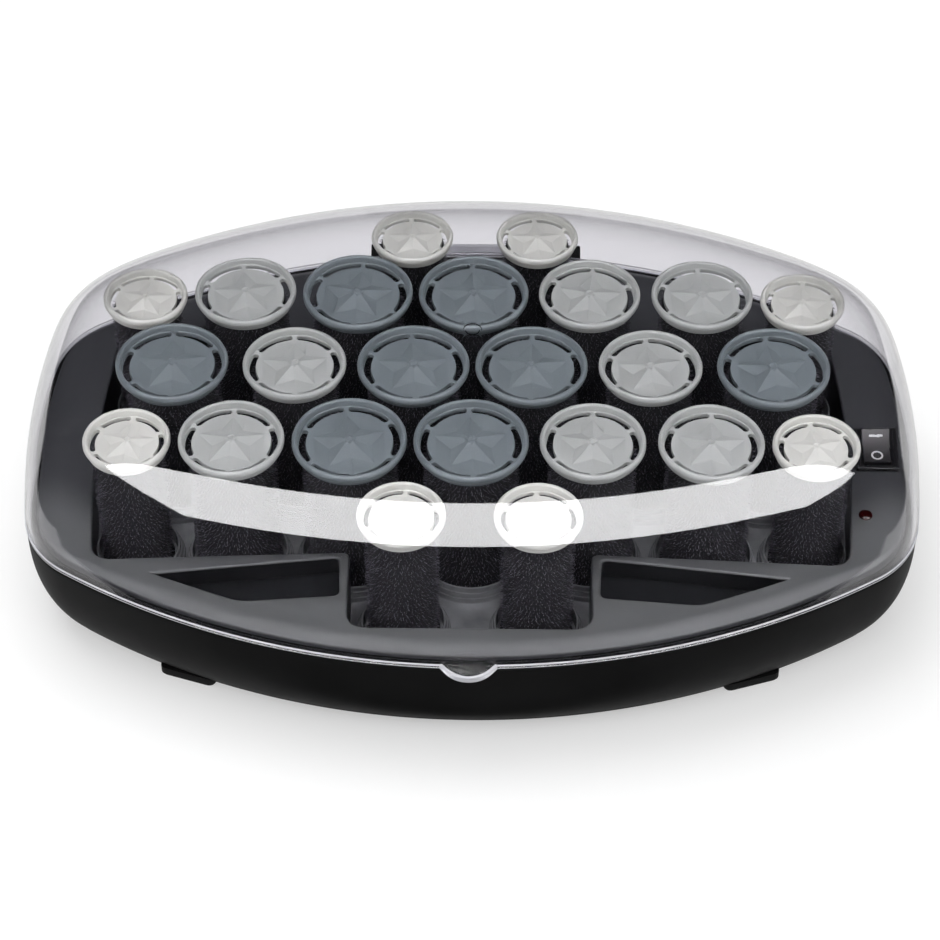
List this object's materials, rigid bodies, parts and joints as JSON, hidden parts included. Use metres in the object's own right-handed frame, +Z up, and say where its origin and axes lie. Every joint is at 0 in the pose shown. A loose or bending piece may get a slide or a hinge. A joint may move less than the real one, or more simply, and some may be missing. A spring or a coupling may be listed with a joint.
{
  "type": "heated hair roller set",
  "caption": "Heated hair roller set: flocked rollers with spoked caps stand on heater posts in a well, in an oval base with clip pockets, a rocker switch and a hinged clear lid.",
  "frame": {"origin": "centre of the base's underside, on the surface it stands on", "axes": "+X along the length to the switch's side, +Y to the hinged back, +Z up"},
  "size_m": [0.34, 0.2358, 0.1052],
  "materials": {
    "shell_black": "fine satin texture",
    "deck_grey": "satin",
    "clear_lid": "clear, polished",
    "pin_steel": "drawn",
    "heater_dark": "dark glossy coating",
    "element_steel": "dull",
    "thermostat_metal": "stamped",
    "terminal_plastic": "moulded",
    "switch_black": "semi gloss",
    "rocker_black": "semi gloss",
    "lens_red": "translucent",
    "gland_rubber": "matt",
    "cap_slate": "satin",
    "cap_grey": "satin",
    "cap_white": "satin",
    "flock_black": "bristly flocking"
  },
  "bodies": {
    "base": {"base_shell": "shell_black", "deck": "deck_grey", "lid_hinge_pin": "pin_steel", "heater_plate": "heater_dark", "heating_element": "element_steel", "thermostat": "thermostat_metal", "terminal_block": "terminal_plastic", "switch_housing": "switch_black", "indicator_lens": "lens_red", "cord_gland": "gland_rubber"},
    "lid": {"lid": "clear_lid"},
    "switch_rocker": {"switch_rocker": "rocker_black"},
    "roller_01": {"roller_cap_01": "cap_white", "roller_barrel_01": "flock_black"},
    "roller_02": {"roller_cap_02": "cap_white", "roller_barrel_02": "flock_black"},
    "roller_03": {"roller_cap_03": "cap_white", "roller_barrel_03": "flock_black"},
    "roller_04": {"roller_cap_04": "cap_grey", "roller_barrel_04": "flock_black"},
    "roller_05": {"roller_cap_05": "cap_slate", "roller_barrel_05": "flock_black"},
    "roller_06": {"roller_cap_06": "cap_slate", "roller_barrel_06": "flock_black"},
    "roller_07": {"roller_cap_07": "cap_grey", "roller_barrel_07": "flock_black"},
    "roller_08": {"roller_cap_08": "cap_grey", "roller_barrel_08": "flock_black"},
    "roller_09": {"roller_cap_09": "cap_white", "roller_barrel_09": "flock_black"},
    "roller_10": {"roller_cap_10": "cap_slate", "roller_barrel_10": "flock_black"},
    "roller_11": {"roller_cap_11": "cap_grey", "roller_barrel_11": "flock_black"},
    "roller_12": {"roller_cap_12": "cap_slate", "roller_barrel_12": "flock_black"},
    "roller_13": {"roller_cap_13": "cap_slate", "roller_barrel_13": "flock_black"},
    "roller_14": {"roller_cap_14": "cap_grey", "roller_barrel_14": "flock_black"},
    "roller_15": {"roller_cap_15": "cap_slate", "roller_barrel_15": "flock_black"},
    "roller_16": {"roller_cap_16": "cap_white", "roller_barrel_16": "flock_black"},
    "roller_17": {"roller_cap_17": "cap_grey", "roller_barrel_17": "flock_black"},
    "roller_18": {"roller_cap_18": "cap_slate", "roller_barrel_18": "flock_black"},
    "roller_19": {"roller_cap_19": "cap_slate", "roller_barrel_19": "flock_black"},
    "roller_20": {"roller_cap_20": "cap_grey", "roller_barrel_20": "flock_black"},
    "roller_21": {"roller_cap_21": "cap_grey", "roller_barrel_21": "flock_black"},
    "roller_22": {"roller_cap_22": "cap_white", "roller_barrel_22": "flock_black"},
    "roller_23": {"roller_cap_23": "cap_white", "roller_barrel_23": "flock_black"},
    "roller_24": {"roller_cap_24": "cap_white", "roller_barrel_24": "flock_black"}
  },
  "joints": [
    {"name": "lid_hinge", "type": "hinge", "parent": "base", "child": "lid", "pos_m": [0, 0.1162, 0.0424], "axis": [-1, 0, 0], "range_deg": [0, 100]},
    {"name": "switch_rock", "type": "hinge", "parent": "base", "child": "switch_rocker", "pos_m": [0.1545, -0.004, 0.0494], "axis": [1, 0, 0], "range_deg": [-16, 0]},
    {"name": "roller_lift_01", "type": "slide", "parent": "base", "child": "roller_01", "axis": [0, 0, 1], "range_m": [0, 0.07]},
    {"name": "roller_lift_02", "type": "slide", "parent": "base", "child": "roller_02", "axis": [0, 0, 1], "range_m": [0, 0.07]},
    {"name": "roller_lift_03", "type": "slide", "parent": "base", "child": "roller_03", "axis": [0, 0, 1], "range_m": [0, 0.07]},
    {"name": "roller_lift_04", "type": "slide", "parent": "base", "child": "roller_04", "axis": [0, 0, 1], "range_m": [0, 0.07]},
    {"name": "roller_lift_05", "type": "slide", "parent": "base", "child": "roller_05", "axis": [0, 0, 1], "range_m": [0, 0.07]},
    {"name": "roller_lift_06", "type": "slide", "parent": "base", "child": "roller_06", "axis": [0, 0, 1], "range_m": [0, 0.07]},
    {"name": "roller_lift_07", "type": "slide", "parent": "base", "child": "roller_07", "axis": [0, 0, 1], "range_m": [0, 0.07]},
    {"name": "roller_lift_08", "type": "slide", "parent": "base", "child": "roller_08", "axis": [0, 0, 1], "range_m": [0, 0.07]},
    {"name": "roller_lift_09", "type": "slide", "parent": "base", "child": "roller_09", "axis": [0, 0, 1], "range_m": [0, 0.07]},
    {"name": "roller_lift_10", "type": "slide", "parent": "base", "child": "roller_10", "axis": [0, 0, 1], "range_m": [0, 0.07]},
    {"name": "roller_lift_11", "type": "slide", "parent": "base", "child": "roller_11", "axis": [0, 0, 1], "range_m": [0, 0.07]},
    {"name": "roller_lift_12", "type": "slide", "parent": "base", "child": "roller_12", "axis": [0, 0, 1], "range_m": [0, 0.07]},
    {"name": "roller_lift_13", "type": "slide", "parent": "base", "child": "roller_13", "axis": [0, 0, 1], "range_m": [0, 0.07]},
    {"name": "roller_lift_14", "type": "slide", "parent": "base", "child": "roller_14", "axis": [0, 0, 1], "range_m": [0, 0.07]},
    {"name": "roller_lift_15", "type": "slide", "parent": "base", "child": "roller_15", "axis": [0, 0, 1], "range_m": [0, 0.07]},
    {"name": "roller_lift_16", "type": "slide", "parent": "base", "child": "roller_16", "axis": [0, 0, 1], "range_m": [0, 0.07]},
    {"name": "roller_lift_17", "type": "slide", "parent": "base", "child": "roller_17", "axis": [0, 0, 1], "range_m": [0, 0.07]},
    {"name": "roller_lift_18", "type": "slide", "parent": "base", "child": "roller_18", "axis": [0, 0, 1], "range_m": [0, 0.07]},
    {"name": "roller_lift_19", "type": "slide", "parent": "base", "child": "roller_19", "axis": [0, 0, 1], "range_m": [0, 0.07]},
    {"name": "roller_lift_20", "type": "slide", "parent": "base", "child": "roller_20", "axis": [0, 0, 1], "range_m": [0, 0.07]},
    {"name": "roller_lift_21", "type": "slide", "parent": "base", "child": "roller_21", "axis": [0, 0, 1], "range_m": [0, 0.07]},
    {"name": "roller_lift_22", "type": "slide", "parent": "base", "child": "roller_22", "axis": [0, 0, 1], "range_m": [0, 0.07]},
    {"name": "roller_lift_23", "type": "slide", "parent": "base", "child": "roller_23", "axis": [0, 0, 1], "range_m": [0, 0.07]},
    {"name": "roller_lift_24", "type": "slide", "parent": "base", "child": "roller_24", "axis": [0, 0, 1], "range_m": [0, 0.07]}
  ],
  "couplings": [
    {"joint": "roller_lift_01", "follows": "lid_hinge", "m_per_rad": 0.04},
    {"joint": "roller_lift_02", "follows": "lid_hinge", "m_per_rad": 0.04},
    {"joint": "roller_lift_03", "follows": "lid_hinge", "m_per_rad": 0.04},
    {"joint": "roller_lift_04", "follows": "lid_hinge", "m_per_rad": 0.04},
    {"joint": "roller_lift_05", "follows": "lid_hinge", "m_per_rad": 0.04},
    {"joint": "roller_lift_06", "follows": "lid_hinge", "m_per_rad": 0.04},
    {"joint": "roller_lift_07", "follows": "lid_hinge", "m_per_rad": 0.04},
    {"joint": "roller_lift_08", "follows": "lid_hinge", "m_per_rad": 0.04},
    {"joint": "roller_lift_09", "follows": "lid_hinge", "m_per_rad": 0.04},
    {"joint": "roller_lift_10", "follows": "lid_hinge", "m_per_rad": 0.04},
    {"joint": "roller_lift_11", "follows": "lid_hinge", "m_per_rad": 0.04},
    {"joint": "roller_lift_12", "follows": "lid_hinge", "m_per_rad": 0.04},
    {"joint": "roller_lift_13", "follows": "lid_hinge", "m_per_rad": 0.04},
    {"joint": "roller_lift_14", "follows": "lid_hinge", "m_per_rad": 0.04},
    {"joint": "roller_lift_15", "follows": "lid_hinge", "m_per_rad": 0.04},
    {"joint": "roller_lift_16", "follows": "lid_hinge", "m_per_rad": 0.04},
    {"joint": "roller_lift_17", "follows": "lid_hinge", "m_per_rad": 0.04},
    {"joint": "roller_lift_18", "follows": "lid_hinge", "m_per_rad": 0.04},
    {"joint": "roller_lift_19", "follows": "lid_hinge", "m_per_rad": 0.04},
    {"joint": "roller_lift_20", "follows": "lid_hinge", "m_per_rad": 0.04},
    {"joint": "roller_lift_21", "follows": "lid_hinge", "m_per_rad": 0.04},
    {"joint": "roller_lift_22", "follows": "lid_hinge", "m_per_rad": 0.04},
    {"joint": "roller_lift_23", "follows": "lid_hinge", "m_per_rad": 0.04},
    {"joint": "roller_lift_24", "follows": "lid_hinge", "m_per_rad": 0.04}
  ]
}
